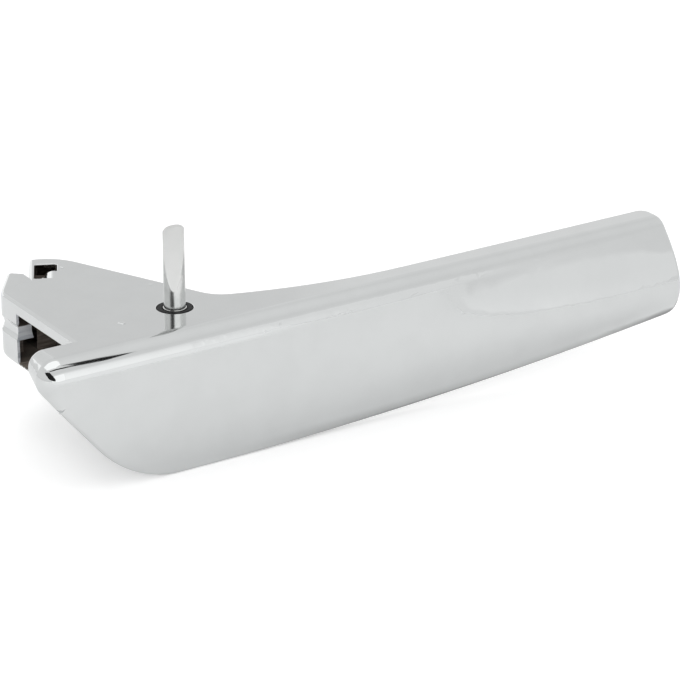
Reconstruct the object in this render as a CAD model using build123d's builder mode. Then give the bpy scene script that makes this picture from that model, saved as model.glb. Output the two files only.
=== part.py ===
from build123d import *
import os
from math import cos, radians, sin, tan

os.makedirs("parts", exist_ok=True)

# Interior door handle lever, in millimetres. The pivot axis is Z, the arm's upper face is Z = 0,
# the paddle runs along +X to its tip, and the arm reaches back along +Y to the release rod.

# Casting walls
wall = 2.6
floor_thickness = 1.7
arm_depth = 15.7
edge_round = 0.7

# Root of the paddle: a flat front face with a rounded upper edge
front_y = -15.0
top_depth = 8.8
corner_radius = 4.5
root_height = 31.2
root_run = 2.4

# Tip of the paddle, where the flat face has turned into a round hood
tip_x = 121.6
tip_height = 22.0
tip_forward = 2.9
tip_corner_shift = 0.5
tip_lean = 40.0
tip_tuck = 44.0
tip_round = 2.5
hood_fullness = 0.45
hood_stations = 5

# Left end of the front face: round nose, slanted lower edge, thick lip
nose_x = -39.4
nose_radius = 4.6
slant = 50.2
slant_step = 0.35
slant_round = 25.0
lip_thickness = 10.0
lip_inset = 1.1
lip_back_radius = 3.4
lip_front_run = 1.0
lip_back_run = 2.0
lip_blend = 4.0
blend_round = 1.6
lip_overlap = 7.0

# Arm: a flat box that is open on its left side, with a block at the end of that side
arm_left = -27.5
arm_back = 27.8
block_side = 12.2
block_slope = 54.6
block_top = 3.8
block_fall = 42.5
block_front = 20.5
block_width = 4.0
block_skin = 0.6
block_bend = 5.0
under_round = 2.5
pocket_depth = 5.0
bar_top = 5.9
bar_height = 3.0
groove_level = 6.9
groove_radius = 2.6
groove_depth = 0.75

# Inner corner between the arm and the paddle, seen from above
web_corner_x = 11.0
web_corner_y = 1.6
web_end_x = 54.0
web_radius = 8.0

# Ridges on the arm's floor
ridge_pitch = 1.2
ridge_width = 1.0
ridge_depth = 0.7
ridge_end = -8.0

# Hook at the arm's end, with a window for the release rod
window_length = 8.6
window_width = 5.0
window_turn = 61.3
window_round = 0.6
window_x = -13.2
window_y = 33.7
hook_side = 1.1
hook_start = 2.7
hook_shoulder = 7.6
hook_end = 5.7
hook_half = 6.7
hook_room = 4.6
step_length = 4.3
step_width = 2.9
saddle_round = 2.2
corner_round = 1.0

# Pivot: a shouldered pin in two flanged bushes
stub_radius = 2.38
journal_radius = 2.55
pin_rise = 18.4
seat_length = 4.3
pin_taper = 0.08
pin_chamfer = 0.4
foot_length = 6.0
boss_radius = 6.5
boss_height = 2.3
bush_radius = 3.97
flange_radius = 5.5
flange_thickness = 1.0
bush_chamfer = 0.35
running_clearance = 0.04
seat_clearance = 0.02

# Slanted flat on the pin's upper end with the side that it faces, and the slope of that end
scarf_depth = 2.38
scarf_turn = -33.0
end_slope = 9.0

# Levels and points that follow from the sizes above
back_y = front_y + top_depth
lip_back = front_y + lip_thickness
box_front = front_y + wall / 2
floor_top = floor_thickness - arm_depth
boss_bottom = -arm_depth - boss_height
nose_center = Vector(nose_x + nose_radius, -nose_radius)
slant_way = Vector(cos(radians(slant)), -sin(radians(slant)))
slant_out = Vector(-sin(radians(slant)), -cos(radians(slant)))
slant_start = nose_center + slant_out * (nose_radius + slant_step)
slant_foot = slant_start.X + (root_height + slant_start.Y) / tan(radians(slant))
root_x = slant_foot + slant_round * tan(radians(slant / 2)) + root_run
web_corner = Vector(web_corner_x, web_corner_y)


def lower_edge(share):
    """The paddle's outer lower edge, as Y and Z, between the root (share 0) and the tip (share 1)."""
    return Vector(front_y - tip_forward * share, -root_height + (root_height - tip_height) * share)


def hood_section(x, share):
    """The paddle's wall at x, between the flat root (share 0) and the round tip (share 1)."""
    lean = radians(tip_lean * share)
    tuck = radians(tip_tuck * share)
    corner_y = front_y + corner_radius - tip_corner_shift * share
    inner_radius = corner_radius - wall
    down = Vector(-sin(lean), -cos(lean))
    under = Vector(sin(tuck), -cos(tuck))
    center = Vector(corner_y, -corner_radius)
    outward = Vector(-cos(lean), sin(lean))
    outer_high = center + outward * corner_radius
    inner_high = center + outward * inner_radius
    outer_low = lower_edge(share)
    inner_low = outer_low + Vector(cos(tuck), sin(tuck)) * wall
    outer_reach = (outer_low - outer_high).length * hood_fullness
    inner_reach = (inner_low - inner_high).length * hood_fullness
    with BuildSketch(Plane.YZ.offset(x)) as section:
        with BuildLine():
            Line((back_y, 0), (corner_y, 0))
            CenterArc(center, corner_radius, 90, 90 - tip_lean * share)
            Bezier(
                outer_high,
                outer_high + down * outer_reach,
                outer_low - under * outer_reach,
                outer_low,
            )
            Line(outer_low, inner_low)
            Bezier(
                inner_low,
                inner_low - under * inner_reach,
                inner_high + down * inner_reach,
                inner_high,
            )
            CenterArc(center, inner_radius, 90, 90 - tip_lean * share)
            Line((corner_y, -wall), (back_y, -wall))
            Line((back_y, -wall), (back_y, 0))
        make_face()
    return section.sketch


def lip_front(plane, reach, depth, height):
    """The lip's rounded front edge, on a plane whose X is the nose's axis and whose Y points outwards."""
    center = Vector(front_y + depth, reach - height)
    with BuildSketch(plane) as section:
        with BuildLine():
            Line((front_y, 0), (front_y, center.Y))
            EllipticalCenterArc(center, depth, height, 90, arc_size=90)
            Line((center.X, reach), (center.X, 0))
            Line((center.X, 0), (front_y, 0))
        make_face()
    return section.sketch


def lip_outline(y, left, radius, run):
    """The lip behind its front edge, seen from the front: flat top, round nose, slanted lower edge."""
    center = Vector(left + radius, -radius)
    low = center + slant_out * radius
    end = low + slant_way * run
    with BuildSketch(Plane.XZ.offset(-y)) as outline:
        with BuildLine():
            Line((arm_left + lip_overlap, 0), (center.X, 0))
            CenterArc(center, radius, 90, 180 - slant)
            Line(low, end)
            Line(end, (arm_left + lip_overlap, -radius))
            Line((arm_left + lip_overlap, -radius), (arm_left + lip_overlap, 0))
        make_face()
    return outline.sketch


# The hood grows out of the root slowly, then faster, as the square of the way to the tip
hood = []
for station in range(hood_stations):
    way = station / (hood_stations - 1)
    hood.append(hood_section(root_x + (tip_x - root_x) * way, way**2))

nose_point = (nose_center.X, 0, nose_center.Y)
top_plane = Plane(nose_point, x_dir=(0, 1, 0), z_dir=(1, 0, 0))
slant_plane = Plane(nose_point, x_dir=(0, 1, 0), z_dir=(-slant_way.X, 0, -slant_way.Y))
lip_start = lip_front(top_plane, nose_radius, corner_radius, corner_radius)
lip_fade = [
    lip_front(slant_plane, nose_radius, corner_radius, corner_radius),
    lip_front(slant_plane.offset(-lip_blend), nose_radius + slant_step, wall, blend_round),
]
lip_sides = [
    lip_outline(front_y + corner_radius, nose_x, nose_radius, lip_front_run),
    lip_outline(lip_back, nose_x + lip_inset, lip_back_radius, lip_back_run),
]


def hook_way(along, across):
    """A way on the hook, along and across its rod window."""
    return Vector(along, across).rotate(Axis.Z, window_turn)


def hook_point(along, across):
    """A point of the hook, along and across the rod window from its middle."""
    return Vector(window_x, window_y) + hook_way(along, across)


# Corners of the arm seen from above: the block from its left corner, the hook round its window
block_corner = Vector(arm_left, arm_back)
block_tip = block_corner + Vector(block_side, 0).rotate(Axis.Z, block_slope)
block_end = block_tip + Vector(block_top, 0).rotate(Axis.Z, -block_fall)
groove_gap = groove_radius - groove_depth
groove_corner = block_corner + Vector(-1, tan(radians(45 - block_slope / 2))) * groove_gap
groove_points = [
    Vector(arm_left + block_width + groove_radius, block_front - groove_gap),
    Vector(arm_left - groove_gap, block_front - groove_gap),
    groove_corner,
    groove_corner + Vector(block_side + block_top, 0).rotate(Axis.Z, block_slope),
]
under_points = [Vector(arm_left, box_front), block_corner, block_tip * 2 - block_corner]
hook_left = hook_point(-hook_start, window_width / 2 + hook_side)
hook_tip = hook_point(hook_shoulder, window_width / 2 + hook_side)
hook_back = hook_point(hook_end, -hook_half)
edge_share = (hook_back.Y - arm_back) / (hook_back.Y - web_corner.Y)
room_points = [
    Vector(arm_left, box_front),
    block_corner,
    block_tip,
    block_end,
    Vector(hook_left.X, arm_back),
    hook_back + (web_corner - hook_back) * edge_share,
    web_corner,
    Vector(web_corner.X + wall, box_front),
]
arm_rounds = [(block_corner, block_bend), (block_tip, corner_round), (hook_tip, corner_round)]
with BuildLine() as arm_edge:
    Polyline(block_corner, block_tip, block_end, hook_left, hook_tip)
    TangentArc(hook_back, hook_tip, tangent=hook_back - web_corner)
    Line(hook_back, web_corner)

# Lever: paddle, arm and hook in one casting
with BuildPart() as lever_handle:
    # Straight root of the paddle, cut to the outline of its front face
    extrude(hood[0], amount=slant_start.X - root_x)
    with BuildSketch(Plane.XZ.offset(-front_y)) as face_outline:
        with BuildLine():
            Polyline(
                (root_x, 0),
                (arm_left, 0),
                (arm_left, nose_center.Y),
                nose_center,
                nose_center + slant_way * lip_blend,
                slant_start + slant_way * lip_blend,
                (slant_foot, -root_height),
                (root_x, -root_height),
                close=True,
            )
        make_face()
        corner = face_outline.vertices().sort_by_distance((slant_foot, -root_height, 0))[0]
        fillet(corner, slant_round)
    extrude(amount=-top_depth, mode=Mode.INTERSECT)
    # Hood of the paddle
    loft(hood)
    # Upper plate with the hook
    with BuildSketch(Plane.XY) as plate_outline:
        with BuildLine():
            add(arm_edge.line)
            TangentArc((web_end_x, back_y), web_corner, tangent=(-1, 0))
            Line((web_end_x, back_y), (web_end_x, back_y - wall))
            Polyline((web_end_x, back_y - wall), (arm_left, back_y - wall), block_corner)
        make_face()
        fillet(plate_outline.vertices().sort_by_distance(web_corner)[0], web_radius)
        for corner, radius in arm_rounds:
            fillet(plate_outline.vertices().sort_by_distance(corner)[0], radius)
    extrude(amount=-wall)
    # Box of the arm below that plate, and the boss of the lower bush
    with BuildSketch(Plane.XY.offset(-wall)) as box_outline:
        with BuildLine():
            add(arm_edge.line)
            Polyline(web_corner, (web_corner.X + wall, box_front), (arm_left, box_front), block_corner)
        make_face()
        for corner, radius in arm_rounds:
            fillet(box_outline.vertices().sort_by_distance(corner)[0], radius)
    extrude(amount=wall - arm_depth)
    with BuildSketch(Plane.XY.offset(-arm_depth)):
        Circle(boss_radius)
    extrude(amount=-boss_height)
    # Round lower edge of the box, from its open side to the block's tip
    with BuildLine() as under_path:
        FilletPolyline(*[point - Vector(0, 0, arm_depth) for point in under_points], radius=block_bend)
    with BuildSketch(Plane(under_path.line @ 0, x_dir=(1, 0, 0), z_dir=under_path.line % 0)):
        Rectangle(under_round, under_round, align=(Align.MIN, Align.MAX))
        with Locations((under_round, -under_round)):
            Circle(under_round, mode=Mode.SUBTRACT)
    sweep(path=under_path.line, mode=Mode.SUBTRACT)
    # Inside of the box, open to the left in front of the block
    with BuildSketch(Plane.XY.offset(-wall)):
        with BuildLine():
            Polyline(*room_points, close=True)
        make_face()
        offset(amount=-wall, kind=Kind.INTERSECTION)
        with Locations(hook_point(hook_room, window_width / 2)):
            Rectangle(
                hook_room + window_length,
                hook_half + window_width / 2 - hook_side,
                rotation=window_turn,
                align=(Align.MAX, Align.MAX),
            )
        with Locations((arm_left, box_front + wall)):
            Rectangle(3 * wall, block_front - box_front - wall, align=(Align.CENTER, Align.MIN))
        with Locations((arm_left, block_front)):
            Rectangle(block_width, arm_back, align=(Align.MIN, Align.MIN), mode=Mode.SUBTRACT)
    extrude(amount=floor_top + wall, mode=Mode.SUBTRACT)
    # Pockets above and below the bar in the block, and the round groove that leads to the bar
    for pocket_top, pocket_bottom in ((-wall, -bar_top), (-bar_top - bar_height, floor_top)):
        with BuildSketch(Plane.XY.offset(pocket_top)):
            with Locations((arm_left + block_skin, block_front)):
                Rectangle(block_width, pocket_depth, align=(Align.MIN, Align.MIN))
        extrude(amount=pocket_bottom - pocket_top, mode=Mode.SUBTRACT)
    with BuildLine() as groove_path:
        Polyline(*[point - Vector(0, 0, groove_level) for point in groove_points])
    with BuildSketch(Plane(groove_path.line @ 0, z_dir=groove_path.line % 0)):
        Circle(groove_radius)
    sweep(path=groove_path.line, transition=Transition.RIGHT, mode=Mode.SUBTRACT)
    # Ridges along the floor
    ridge_room = block_front - lip_back
    with BuildSketch(Plane.YZ.offset(arm_left)):
        with Locations(((block_front + lip_back) / 2, floor_top)):
            with GridLocations(ridge_pitch, 0, int(ridge_room / ridge_pitch), 1):
                Polygon(
                    (-ridge_width / 2, 0),
                    (0, -ridge_depth),
                    (ridge_width / 2, 0),
                    align=None,
                )
    extrude(amount=ridge_end - arm_left, mode=Mode.SUBTRACT)
    # Thick lip round the nose
    extrude(lip_start, amount=arm_left + lip_overlap - nose_center.X)
    revolve(lip_start, Axis(nose_point, (0, -1, 0)), revolution_arc=180 - slant)
    loft(lip_fade)
    loft(lip_sides)
    # Round corners of the tip, then the soft edge that runs round the upper face, tip and lower edge
    tip_edges = lever_handle.faces().sort_by(Axis.X)[-1].edges()
    fillet([tip_edges.sort_by(Axis.Y)[-1], tip_edges.sort_by(Axis.Z)[0]], tip_round)
    upper_face = lever_handle.faces().sort_by(Axis.Z)[-1]
    rim = upper_face.outer_wire().edges().filter_by(lambda edge: edge.center().Y > back_y - tip_round / 2)
    fillet(rim, edge_round)
    # Rod window, with a step at its front corner
    with BuildSketch(Plane.XY) as window:
        with Locations((window_x, window_y)):
            Rectangle(window_length, window_width, rotation=window_turn)
        with Locations(hook_point(-window_length / 2, -window_width / 2)):
            Rectangle(
                step_length,
                step_width,
                rotation=window_turn,
                align=(Align.MIN, Align.MIN),
                mode=Mode.SUBTRACT,
            )
        step_corner = hook_point(step_length - window_length / 2, step_width - window_width / 2)
        fillet(window.vertices().sort_by_distance(step_corner)[1:], window_round)
    extrude(amount=-wall, mode=Mode.SUBTRACT)
    # Saddle of the rod: the step's edge rolls down into the window
    with BuildSketch(Plane(step_corner, x_dir=hook_way(0, 1), z_dir=hook_way(-1, 0))):
        Rectangle(saddle_round, saddle_round, align=(Align.MAX, Align.MIN))
        with Locations((-saddle_round, saddle_round)):
            Circle(saddle_round, mode=Mode.SUBTRACT)
    extrude(amount=step_length, mode=Mode.SUBTRACT)
    # Seats of the two bushes
    with Locations((0, 0, 0)):
        Hole(bush_radius + seat_clearance, depth=wall)
    with Locations((0, 0, floor_top)):
        Hole(bush_radius + seat_clearance, depth=floor_top - boss_bottom)
lever_handle.part.label = "lever_handle"
export_step(lever_handle.part, "parts/lever_handle.step")

# Pivot pin: turned steel, with a foot below the shoulder and a seat above it
end_radius = stub_radius - pin_taper
end_way = Vector(cos(radians(scarf_turn)), sin(radians(scarf_turn)))
scarf_way = Vector(sin(radians(scarf_turn)), -cos(radians(scarf_turn)))
scarf_rise = pin_rise - seat_length
with BuildPart() as pivot_pin:
    with BuildSketch(Plane.XZ):
        with BuildLine():
            Polyline(
                (0, boss_bottom - foot_length),
                (stub_radius - pin_chamfer, boss_bottom - foot_length),
                (stub_radius, boss_bottom - foot_length + pin_chamfer),
                (stub_radius, boss_bottom),
                (journal_radius, boss_bottom),
                (journal_radius, 0),
                (stub_radius, 0),
                (stub_radius, seat_length),
                (end_radius, pin_rise),
                (0, pin_rise),
                close=True,
            )
        make_face()
    revolve(axis=Axis.Z)
    end_top = end_way * end_radius + Vector(0, 0, pin_rise)
    end_normal = Vector(0, 0, 1) - end_way * tan(radians(end_slope))
    split(bisect_by=Plane(end_top, z_dir=end_normal), keep=Keep.BOTTOM)
    chamfer(pivot_pin.edges().sort_by(Axis.Z)[-1], pin_chamfer)
    scarf_foot = scarf_way * stub_radius + Vector(0, 0, seat_length)
    scarf_normal = scarf_way * scarf_rise + Vector(0, 0, scarf_depth)
    split(bisect_by=Plane(scarf_foot, z_dir=scarf_normal), keep=Keep.BOTTOM)
pivot_pin.part.label = "pivot_pin"
export_step(pivot_pin.part, "parts/pivot_pin.step")

# Bushes: moulded plastic sleeves with their flanges inside the arm's box
bore = journal_radius + running_clearance
for name, outer_end, seat, inward in (
    ("upper_bush", 0, -wall - seat_clearance, -1),
    ("lower_bush", boss_bottom, floor_top + seat_clearance, 1),
):
    with BuildPart() as bush:
        with BuildSketch(Plane.XZ):
            with BuildLine():
                Polyline(
                    (bore + bush_chamfer, outer_end),
                    (bush_radius - bush_chamfer, outer_end),
                    (bush_radius, outer_end + inward * bush_chamfer),
                    (bush_radius, seat),
                    (flange_radius, seat),
                    (flange_radius, seat + inward * flange_thickness),
                    (bore, seat + inward * flange_thickness),
                    (bore, outer_end + inward * bush_chamfer),
                    close=True,
                )
            make_face()
        revolve(axis=Axis.Z)
    bush.part.label = name
    export_step(bush.part, f"parts/{name}.step")
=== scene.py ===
from math import cos, radians, sin

import bmesh
import bpy
from mathutils import Matrix, Vector
from mathutils.bvhtree import BVHTree
from mathutils.geometry import barycentric_transform


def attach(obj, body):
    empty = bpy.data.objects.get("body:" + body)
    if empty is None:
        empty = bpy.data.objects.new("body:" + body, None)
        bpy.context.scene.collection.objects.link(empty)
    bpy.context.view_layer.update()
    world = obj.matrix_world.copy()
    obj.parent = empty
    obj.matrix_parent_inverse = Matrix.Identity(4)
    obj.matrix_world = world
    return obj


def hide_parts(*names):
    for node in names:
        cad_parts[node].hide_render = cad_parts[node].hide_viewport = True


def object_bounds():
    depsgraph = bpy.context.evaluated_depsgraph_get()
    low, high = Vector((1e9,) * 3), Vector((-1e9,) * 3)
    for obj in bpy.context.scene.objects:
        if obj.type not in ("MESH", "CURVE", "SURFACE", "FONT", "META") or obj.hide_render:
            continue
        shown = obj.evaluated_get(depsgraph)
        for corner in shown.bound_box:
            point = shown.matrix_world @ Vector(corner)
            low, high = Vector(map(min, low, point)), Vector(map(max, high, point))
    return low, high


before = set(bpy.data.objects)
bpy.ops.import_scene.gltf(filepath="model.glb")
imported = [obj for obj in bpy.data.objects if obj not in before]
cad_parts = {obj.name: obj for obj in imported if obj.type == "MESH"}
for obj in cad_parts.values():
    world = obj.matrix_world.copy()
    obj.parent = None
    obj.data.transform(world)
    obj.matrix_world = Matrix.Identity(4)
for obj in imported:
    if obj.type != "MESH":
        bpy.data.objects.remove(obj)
cad_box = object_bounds()

# Lever: one zinc die casting, polished by hand on the sides that show and plated with bright chrome.
# Paddle, arm and hook are one piece. The plating follows the casting, so every edge stays soft,
# and the arm's hollow, which no polishing wheel reaches, keeps its dull cast skin.
mm = 0.001
merge_distance = 0.0005 * mm
flat_angle = radians(0.05)
sharp_angle = radians(50)
edge_rounding = 0.25 * mm
inset_share = 0.05

# Places on the casting in mm, boxes by their low and high corners. In the tight places two rounded edges
# would run into each other. A face that looks left by more than the pocket's tilt is the block's outside.
hollow_box = ((-26.6, -13.0, -15.2), (9.0, 41.0, -2.5))
hollow_middle = Vector((-12.0, 8.0, -8.0))
hook_start = 26.0
hook_middle = Vector((-11.5, 32.5, -8.0))
pocket_box = ((-26.95, 20.4, -14.2), (-22.0, 25.7, -2.5))
pocket_tilt = 0.1
bar_box = ((-27.4, 20.4, -15.0), (-23.4, 21.4, -2.5))
tight_places = {
    "rod saddle": ((-15.9, 28.9, -2.3), (-11.4, 34.1, 0.1)),
    "hook end": ((-21.2, 36.6, -15.2), (-19.5, 37.4, -2.9)),
    "lip end": ((-36.3, -15.1, -11.0), (-34.7, -12.2, -9.7)),
    "lip back": ((-39.5, -13.0, -8.2), (-31.5, -8.0, -4.0)),
    "hood rim, left": ((48.0, -13.6, -29.5), (59.0, -12.5, -28.0)),
    "hood rim, right": ((87.0, -15.0, -26.0), (98.0, -13.5, -23.5)),
    "ridges": ((-27.6, -5.0, -15.3), (-26.7, 21.0, -13.9)),
    "hollow corner": ((9.0, 2.0, -2.7), (12.0, 5.0, -2.5)),
}


def within(point, low, high):
    """Whether a point lies in the box between two corners."""
    return all(low[i] < point[i] < high[i] for i in range(3))


def linear(hex_colour):
    """An sRGB hex colour as linear RGBA."""
    shares = [int(hex_colour[i : i + 2], 16) / 255 for i in (1, 3, 5)]
    return [s / 12.92 if s <= 0.04045 else ((s + 0.055) / 1.055) ** 2.4 for s in shares] + [1]


def add_node(tree, kind, inputs=None, **settings):
    """Adds a node with its settings to the tree; each input is a value or the output to link."""
    node = tree.nodes.new(kind)
    for name, value in settings.items():
        setattr(node, name, value)
    for name, value in (inputs or {}).items():
        if isinstance(value, bpy.types.NodeSocket):
            tree.links.new(value, node.inputs[name])
        else:
            node.inputs[name].default_value = value
    return node


def new_material(name):
    """An empty node material, as the material and its node tree."""
    material = bpy.data.materials.new(name)
    material.use_nodes = True
    material.node_tree.nodes.clear()
    return material, material.node_tree


# Bright chrome is a nearly neutral mirror: the eye sees the room in it, a shade darker, and the
# slow waves that hand polishing leaves in the casting bend that image a little.
chrome, tree = new_material("bright_chrome_plate")
place = add_node(tree, "ShaderNodeTexCoord").outputs["Object"]
polish_wave = 9 * mm
wave_height = 0.012 * mm
haze_size = 7 * mm
hazy_roughness = 0.07
clear_roughness = 0.03
waves = add_node(tree, "ShaderNodeTexNoise", {"Vector": place, "Scale": 1 / polish_wave, "Detail": 1.0})
haze = add_node(tree, "ShaderNodeTexNoise", {"Vector": place, "Scale": 1 / haze_size, "Detail": 4.0})
tint = add_node(tree, "ShaderNodeValToRGB", {"Fac": haze.outputs["Fac"]})
tint.color_ramp.elements[0].position = 0.35
tint.color_ramp.elements[0].color = linear("#D4D6D6")
tint.color_ramp.elements[1].position = 0.6
tint.color_ramp.elements[1].color = linear("#D6D8D8")
gloss = add_node(
    tree,
    "ShaderNodeMapRange",
    {
        "Value": haze.outputs["Fac"],
        "From Min": 0.3,
        "From Max": 0.7,
        "To Min": hazy_roughness,
        "To Max": clear_roughness,
    },
)
bump = add_node(
    tree,
    "ShaderNodeBump",
    {"Height": waves.outputs["Fac"], "Strength": 1.0, "Distance": wave_height},
)
shader = add_node(
    tree,
    "ShaderNodeBsdfPrincipled",
    {
        "Base Color": tint.outputs["Color"],
        "Metallic": 1.0,
        "Roughness": gloss.outputs["Result"],
        "Normal": bump.outputs["Normal"],
    },
)
add_node(tree, "ShaderNodeOutputMaterial", {"Surface": shader.outputs["BSDF"]})

# Cast zinc without polish is a dull dark grey, streaked by the die, with a brown cast from the bath.
raw_zinc, tree = new_material("cast_zinc_skin")
place = add_node(tree, "ShaderNodeTexCoord").outputs["Object"]
fleck_size = 0.6 * mm
fleck_depth = 0.05 * mm
stretch = add_node(tree, "ShaderNodeVectorMath", {0: place, 1: (0.1, 0.15, 1.0)}, operation="MULTIPLY")
flecks = add_node(
    tree,
    "ShaderNodeTexNoise",
    {"Vector": stretch.outputs["Vector"], "Scale": 1 / fleck_size, "Detail": 3.0},
)
tint = add_node(tree, "ShaderNodeValToRGB", {"Fac": flecks.outputs["Fac"]})
tint.color_ramp.elements[0].position = 0.3
tint.color_ramp.elements[0].color = linear("#635C56")
tint.color_ramp.elements[1].position = 0.75
tint.color_ramp.elements[1].color = linear("#958B82")
bump = add_node(
    tree,
    "ShaderNodeBump",
    {"Height": flecks.outputs["Fac"], "Strength": 1.0, "Distance": fleck_depth},
)
shader = add_node(
    tree,
    "ShaderNodeBsdfPrincipled",
    {
        "Base Color": tint.outputs["Color"],
        "Metallic": 0.3,
        "Roughness": 0.55,
        "Normal": bump.outputs["Normal"],
    },
)
add_node(tree, "ShaderNodeOutputMaterial", {"Surface": shader.outputs["BSDF"]})

# Plating that no wheel reaches stays satin: a pale, slightly blue grey with a broad soft shine.
satin, tree = new_material("satin_chrome_plate")
place = add_node(tree, "ShaderNodeTexCoord").outputs["Object"]
brush_size = 0.8 * mm
stretch = add_node(tree, "ShaderNodeVectorMath", {0: place, 1: (0.1, 1.0, 1.0)}, operation="MULTIPLY")
streaks = add_node(
    tree,
    "ShaderNodeTexNoise",
    {"Vector": stretch.outputs["Vector"], "Scale": 1 / brush_size, "Detail": 2.0},
)
tint = add_node(tree, "ShaderNodeValToRGB", {"Fac": streaks.outputs["Fac"]})
tint.color_ramp.elements[0].position = 0.35
tint.color_ramp.elements[0].color = linear("#AEB3B9")
tint.color_ramp.elements[1].position = 0.65
tint.color_ramp.elements[1].color = linear("#DADDE0")
shader = add_node(
    tree,
    "ShaderNodeBsdfPrincipled",
    {"Base Color": tint.outputs["Color"], "Metallic": 0.3, "Roughness": 0.45},
)
add_node(tree, "ShaderNodeOutputMaterial", {"Surface": shader.outputs["BSDF"]})
finishes = [chrome, raw_zinc, satin]

# The casting is the frame's solid with its flat triangles joined. Faces that look into the hollow, the hook
# or the block's pockets keep the cast skin, and the bar's front is satin.
cad_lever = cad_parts["lever_handle"].data
lever = bpy.data.objects.new("lever_casting", bpy.data.meshes.new("lever_casting"))
bpy.context.scene.collection.objects.link(lever)
casting = bmesh.new()
casting.from_mesh(cad_lever)
bmesh.ops.remove_doubles(casting, verts=casting.verts, dist=merge_distance)
bmesh.ops.dissolve_limit(casting, angle_limit=flat_angle, verts=casting.verts, edges=casting.edges)
rounded_mark = casting.faces.layers.int.new("rounded")
for face in casting.faces:
    face.smooth = True
    center = face.calc_center_median() / mm
    middle = hook_middle if center.y > hook_start else hollow_middle
    in_hollow = within(center, *hollow_box) and face.normal.dot(middle - center) > 0
    in_pocket = within(center, *pocket_box) and face.normal.x > -pocket_tilt
    finish = raw_zinc if in_hollow or in_pocket else chrome
    if within(center, *bar_box):
        finish = satin
    face.material_index = finishes.index(finish)

# Sharp edges of the bright plating are rounded, except in the few places that are too narrow for it.
bright_edges = [
    edge
    for edge in casting.edges
    if edge.is_convex
    and edge.calc_face_angle() > sharp_angle
    and not any(face.material_index for face in edge.link_faces)
]
outer_edges = []
for edge in bright_edges:
    center = (edge.verts[0].co + edge.verts[1].co) / 2 / mm
    if not any(within(center, *box) for box in tight_places.values()):
        outer_edges.append(edge)
rounded = bmesh.ops.bevel(
    casting,
    geom=outer_edges,
    offset=edge_rounding,
    affect="EDGES",
    segments=2,
    profile=0.5,
    material=-1,
    clamp_overlap=False,
)
for face in rounded["faces"]:
    face[rounded_mark] = 1
bmesh.ops.triangulate(casting, faces=[face for face in casting.faces if len(face.verts) > 4])
casting.to_mesh(lever.data)
casting.free()

# Mirror finishes show every facet, so each corner takes the true normal of the surface it lies on.
# A rounded edge lies on none: it takes its neighbours' normals at its rims, and its own between them.
cad_lever.calc_loop_triangles()
triangles = cad_lever.loop_triangles
surface = BVHTree.FromPolygons([vert.co for vert in cad_lever.vertices], [tri.vertices for tri in triangles])
corner_normals = [None] * len(lever.data.loops)
rim_normals = {}
marks = lever.data.attributes["rounded"]
for face in lever.data.polygons:
    if marks.data[face.index].value:
        continue
    for loop in face.loop_indices:
        vert = lever.data.loops[loop].vertex_index
        spot = lever.data.vertices[vert].co
        tri = triangles[surface.find_nearest(spot.lerp(face.center, inset_share))[2]]
        corners = [cad_lever.vertices[i].co for i in tri.vertices]
        ends = [cad_lever.corner_normals[i].vector for i in tri.loops]
        corner_normals[loop] = barycentric_transform(spot, *corners, *ends).normalized()
        rim_normals[vert] = corner_normals[loop]
lever.data.attributes.remove(marks)
for loop, normal in enumerate(corner_normals):
    if normal is None:
        vert = lever.data.loops[loop].vertex_index
        corner_normals[loop] = rim_normals.get(vert, lever.data.vertices[vert].normal)
lever.data.normals_split_custom_set(corner_normals)
for material in finishes:
    lever.data.materials.append(material)
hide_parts("lever_handle")
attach(lever, "lever")

# Nibs: specks of dirt that were caught under the plating, left as low bright humps on the arm's upper
# face. They are part of the chrome and swing with the lever. Each has x, y, radius and height in mm.
nibs = [(-14.1, -1.9, 0.8, 0.25), (2.3, 14.2, 0.4, 0.15), (-9.0, 33.7, 0.5, 0.2)]
specks = bpy.data.objects.new("plating_nibs", bpy.data.meshes.new("plating_nibs"))
bpy.context.scene.collection.objects.link(specks)
humps = bmesh.new()
for x, y, radius, height in nibs:
    spot = Matrix.LocRotScale(Vector((x, y, 0)) * mm, None, Vector((radius, radius, height)) * mm)
    bmesh.ops.create_uvsphere(humps, u_segments=32, v_segments=24, radius=1, matrix=spot)
for face in humps.faces:
    face.smooth = True
humps.to_mesh(specks.data)
humps.free()
specks.data.materials.append(chrome)
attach(specks, "lever")

# Pivot pin: a turned steel bar with a slanted flat ground on its upper end, left bare and a little dull.
# It stays still while the lever swings round it.
steel, tree = new_material("turned_steel")
place = add_node(tree, "ShaderNodeTexCoord").outputs["Object"]
grain_size = 2.0 * mm
grain = add_node(tree, "ShaderNodeTexNoise", {"Vector": place, "Scale": 1 / grain_size, "Detail": 2.0})
tint = add_node(tree, "ShaderNodeValToRGB", {"Fac": grain.outputs["Fac"]})
tint.color_ramp.elements[0].position = 0.3
tint.color_ramp.elements[0].color = linear("#D6D7D6")
tint.color_ramp.elements[1].position = 0.7
tint.color_ramp.elements[1].color = linear("#DCDDDC")
shader = add_node(
    tree,
    "ShaderNodeBsdfPrincipled",
    {"Base Color": tint.outputs["Color"], "Metallic": 1.0, "Roughness": 0.22},
)
add_node(tree, "ShaderNodeOutputMaterial", {"Surface": shader.outputs["BSDF"]})
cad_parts["pivot_pin"].data.materials.clear()
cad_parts["pivot_pin"].data.materials.append(steel)

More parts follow.
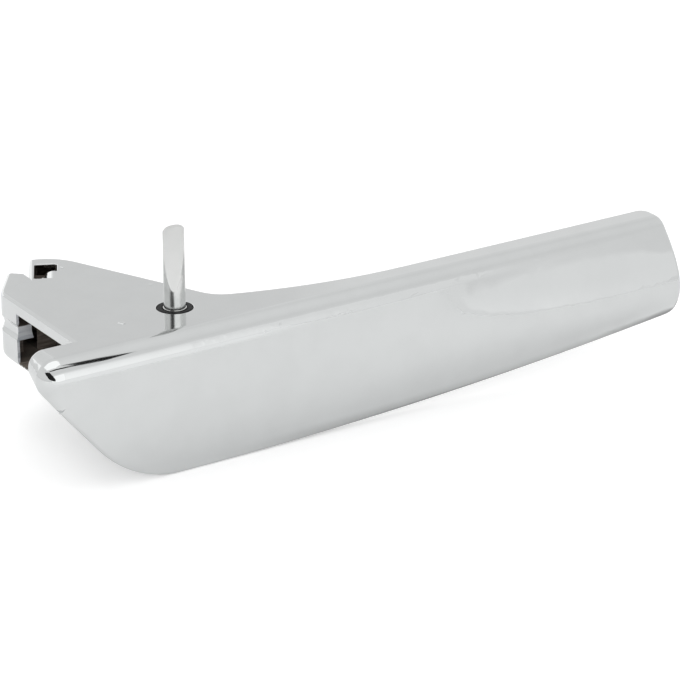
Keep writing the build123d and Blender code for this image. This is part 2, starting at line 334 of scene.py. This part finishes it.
# Bushes: two flanged sleeves of black acetal, injection moulded and pressed into the arm from inside.
# They carry the pin above and below the hollow, and turn with the lever.
acetal, tree = new_material("black_acetal")
place = add_node(tree, "ShaderNodeTexCoord").outputs["Object"]
mould_grain = 0.6 * mm
grain = add_node(tree, "ShaderNodeTexNoise", {"Vector": place, "Scale": 1 / mould_grain, "Detail": 2.0})
tint = add_node(tree, "ShaderNodeValToRGB", {"Fac": grain.outputs["Fac"]})
tint.color_ramp.elements[0].color = linear("#0C0D0E")
tint.color_ramp.elements[1].color = linear("#17181A")
shader = add_node(
    tree,
    "ShaderNodeBsdfPrincipled",
    {"Base Color": tint.outputs["Color"], "Roughness": 0.5, "Specular IOR Level": 0.2},
)
add_node(tree, "ShaderNodeOutputMaterial", {"Surface": shader.outputs["BSDF"]})
for name in ("upper_bush", "lower_bush"):
    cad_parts[name].data.materials.clear()
    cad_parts[name].data.materials.append(acetal)

# Stage: a white floor at the handle's lowest point. The lamps and the room light it; a little more white
# is added for the camera, and less for mirror-like surfaces, so the handle's shadow stays on it.
floor_size = 6.0
floor_white = 0.9
camera_lift = 0.25
mirror_lift = 0.03
floor_material, tree = new_material("floor_paper")
ray = add_node(tree, "ShaderNodeLightPath")
seen = add_node(
    tree,
    "ShaderNodeMath",
    {0: ray.outputs["Is Camera Ray"], 1: ray.outputs["Is Transmission Ray"]},
    operation="MAXIMUM",
)
lift = add_node(tree, "ShaderNodeMath", {0: seen.outputs["Value"], 1: camera_lift}, operation="MULTIPLY")
lift = add_node(
    tree,
    "ShaderNodeMath",
    {0: ray.outputs["Is Glossy Ray"], 1: mirror_lift, 2: lift.outputs["Value"]},
    operation="MULTIPLY_ADD",
)
paper = add_node(tree, "ShaderNodeBsdfDiffuse", {"Color": (floor_white, floor_white, floor_white, 1)})
glow = add_node(tree, "ShaderNodeEmission", {"Strength": lift.outputs["Value"]})
both = add_node(tree, "ShaderNodeAddShader", {0: paper.outputs["BSDF"], 1: glow.outputs["Emission"]})
add_node(tree, "ShaderNodeOutputMaterial", {"Surface": both.outputs["Shader"]})
floor = bpy.data.objects.new("floor", bpy.data.meshes.new("floor"))
bpy.context.scene.collection.objects.link(floor)
sheet = bmesh.new()
bmesh.ops.create_grid(sheet, x_segments=1, y_segments=1, size=floor_size / 2)
bmesh.ops.translate(sheet, verts=sheet.verts, vec=(0, 0, cad_box[0].z))
sheet.to_mesh(floor.data)
sheet.free()
floor.data.materials.append(floor_material)

# Studio: a pale room, a little brighter overhead than at the horizon. Each level comes with its height,
# which is 0 at the horizon and 1 overhead.
room_levels = ((0.0, 0.87), (0.4, 0.9), (0.72, 0.85), (1.0, 0.97))
world = bpy.data.worlds.new("studio")
bpy.context.scene.world = world
world.use_nodes = True
tree = world.node_tree
tree.nodes.clear()
direction = add_node(tree, "ShaderNodeTexCoord").outputs["Generated"]
height = add_node(tree, "ShaderNodeSeparateXYZ", {"Vector": direction})
room = add_node(tree, "ShaderNodeValToRGB", {"Fac": height.outputs["Z"]})
stops = room.color_ramp.elements
for index, (position, level) in enumerate(room_levels):
    if index >= len(stops):
        stops.new(position)
    stops[index].position = position
    stops[index].color = (level, level, level, 1)
background = add_node(tree, "ShaderNodeBackground", {"Color": room.outputs["Color"], "Strength": 1.0})
add_node(tree, "ShaderNodeOutputWorld", {"Surface": background.outputs["Background"]})

# Lamps: a softbox above and a little behind the handle, and a fill beside the camera, which reaches into
# the arm's hollow. Mirror-like surfaces show neither of them.


def add_lamp(name, size, watts, place):
    """A square soft lamp that faces the handle, with its size and place in metres."""
    lamp = bpy.data.objects.new(name, bpy.data.lights.new(name, "AREA"))
    bpy.context.scene.collection.objects.link(lamp)
    lamp.data.size = size
    lamp.data.energy = watts
    lamp.location = place
    lamp.rotation_euler = lamp.location.to_track_quat("Z", "Y").to_euler()
    lamp.visible_glossy = False
    return lamp


softbox = add_lamp("softbox", size=0.6, watts=1.25, place=(0.05, 0.5, 0.9))
fill = add_lamp("fill", size=0.3, watts=1.3, place=(-0.36, -0.52, 0.26))

# Boards: what the chrome mirrors, in mm. In front stands a pale board, with a brighter one before its left
# half. Behind stand a grey one and, to its left, a low white one. A bright one hangs overhead at the left.
floor_level = cad_box[0].z / mm
x_axis = (1, 0, 0)
y_axis = (0, 1, 0)
z_axis = (0, 0, 1)


def add_card(name, corners, level, fades=()):
    """A flat card of the stage that only mirror-like surfaces show. Along each fade's direction it turns
    clear between two distances from the origin."""
    card = bpy.data.objects.new(name, bpy.data.meshes.new(name))
    bpy.context.scene.collection.objects.link(card)
    outline = bmesh.new()
    outline.faces.new([outline.verts.new(Vector(corner) * mm) for corner in corners])
    outline.to_mesh(card.data)
    outline.free()
    material, tree = new_material(name)
    place = add_node(tree, "ShaderNodeTexCoord").outputs["Object"]
    cover = 1.0
    for direction, full, clear in fades:
        along = add_node(tree, "ShaderNodeVectorMath", {0: place, 1: direction}, operation="DOT_PRODUCT")
        fade = add_node(
            tree,
            "ShaderNodeMapRange",
            {
                "Value": along.outputs["Value"],
                "From Min": full * mm,
                "From Max": clear * mm,
                "To Min": 1.0,
                "To Max": 0.0,
            },
            interpolation_type="SMOOTHSTEP",
        )
        cover = add_node(tree, "ShaderNodeMath", {0: cover, 1: fade.outputs["Result"]}, operation="MULTIPLY")
        cover = cover.outputs["Value"]
    glow = add_node(tree, "ShaderNodeEmission", {"Strength": level})
    empty = add_node(tree, "ShaderNodeBsdfTransparent")
    soft = add_node(
        tree,
        "ShaderNodeMixShader",
        {0: cover, 1: empty.outputs["BSDF"], 2: glow.outputs["Emission"]},
    )
    add_node(tree, "ShaderNodeOutputMaterial", {"Surface": soft.outputs["Shader"]})
    card.data.materials.append(material)
    card.visible_camera = False
    card.visible_diffuse = False
    card.visible_shadow = False
    card.visible_transmission = False


def standing(left, right, depth, top):
    """Corners of a card that stands on the floor, square to the view from the front."""
    return [(left, depth, floor_level), (right, depth, floor_level), (right, depth, top), (left, depth, top)]


add_card(
    "pale_board",
    standing(-700, 800, -760, 650),
    level=0.98,
    fades=[(z_axis, 550, 650), ((1, 0, -0.3), 490, 520)],
)
add_card(
    "bright_board",
    standing(-700, 600, -750, 520),
    level=1.35,
    fades=[(z_axis, 430, 520), (x_axis, 250, 510)],
)
add_card(
    "grey_board",
    standing(-700, 400, 500, 600),
    level=0.8,
    fades=[(z_axis, 400, 600), (x_axis, 320, 390), (x_axis, 230, 170)],
)
add_card(
    "white_board",
    standing(-250, 190, 500, 230),
    level=1.25,
    fades=[(z_axis, 190, 230), (x_axis, 130, 190)],
)
add_card(
    "overhead_board",
    [(-550, 450, 600), (-600, 0, 600), (-90, -200, 600), (260, -50, 600), (260, 250, 600)],
    level=1.4,
    fades=[(x_axis, 180, 260)],
)

# Floor cards: a glowing one before the handle's root, a painted pool of light on the floor, a wide pale one
# farther out in front, and a grey one under the paddle, painted shade where the floor lies in the paddle's
# shadow, which the paddle's lower edge mirrors as a thin dark line.
root_height = floor_level + 0.5
far_height = floor_level + 0.3
under_height = floor_level + 0.2


def lying(left, right, front, back, height):
    """Corners of a card that lies level."""
    return [(left, front, height), (right, front, height), (right, back, height), (left, back, height)]


# Painted light: a glowing patch on the floor that stands in for the floor lit brighter before the root.
add_card(
    "painted_light_pool_card",
    [(-300, -75, root_height), (70, -75, root_height), (520, -800, root_height), (-300, -800, root_height)],
    level=1.12,
    fades=[(y_axis, -135, -75), (y_axis, -380, -480), ((1, 0.626, 0), -20, 10)],
)
add_card(
    "far_card",
    lying(-3000, 3000, -3000, -320, far_height),
    level=0.95,
    fades=[(y_axis, -430, -330)],
)
# Painted shade: a grey sheet under the paddle, in place of the floor's shadow, which the lower edge mirrors.
add_card(
    "painted_shade_card",
    lying(-40, 140, -22, 30, under_height),
    level=0.42,
    fades=[(y_axis, -16, -21), (y_axis, 5, 30), (x_axis, 60, -5)],
)

# Flags: three black cards, a wedge high at the right with a narrow arm, and one round the camera's place.
# They give the chrome and the pin the few dark lines that make them read as metal.
flag_level = 0.02
add_card(
    "high_flag",
    [(93, -56, 268), (104, -90, 258), (111, -129, 241), (116, -155, 227), (107, -187, 205), (96, -148, 233)],
    flag_level,
)
add_card(
    "flag_arm",
    [
        (95, -120, 247),
        (7, -136, 271),
        (-140, -116, 262),
        (-224, -70, 230),
        (-228, -92, 216),
        (-144, -144, 247),
        (4, -164, 255),
        (96, -148, 233),
    ],
    flag_level,
)
add_card(
    "camera_flag",
    [
        (-485, 56, 311),
        (-400, -163, 384),
        (-330, -395, 265),
        (-262, -500, 120),
        (-262, -516, 25),
        (-330, -470, 25),
        (-478, -331, 86),
        (-530, -146, 205),
    ],
    flag_level,
)

# Camera: to the left of the handle's front and above it. Its lens is long, so the paddle's far end looks
# nearly as large as the root.
azimuth = radians(-33)
elevation = radians(22.5)
aim = Vector((38.2, -6.0, -14.2)) * mm
distance = 720 * mm
lens = 173.4
camera = bpy.data.objects.new("camera", bpy.data.cameras.new("camera"))
bpy.context.scene.collection.objects.link(camera)
back = Vector((sin(azimuth) * cos(elevation), -cos(azimuth) * cos(elevation), sin(elevation)))
camera.location = aim + back * distance
camera.rotation_euler = back.to_track_quat("Z", "Y").to_euler()
camera.data.sensor_width = 36
camera.data.lens = lens
bpy.context.scene.camera = camera
bpy.context.scene.view_settings.view_transform = "Standard"
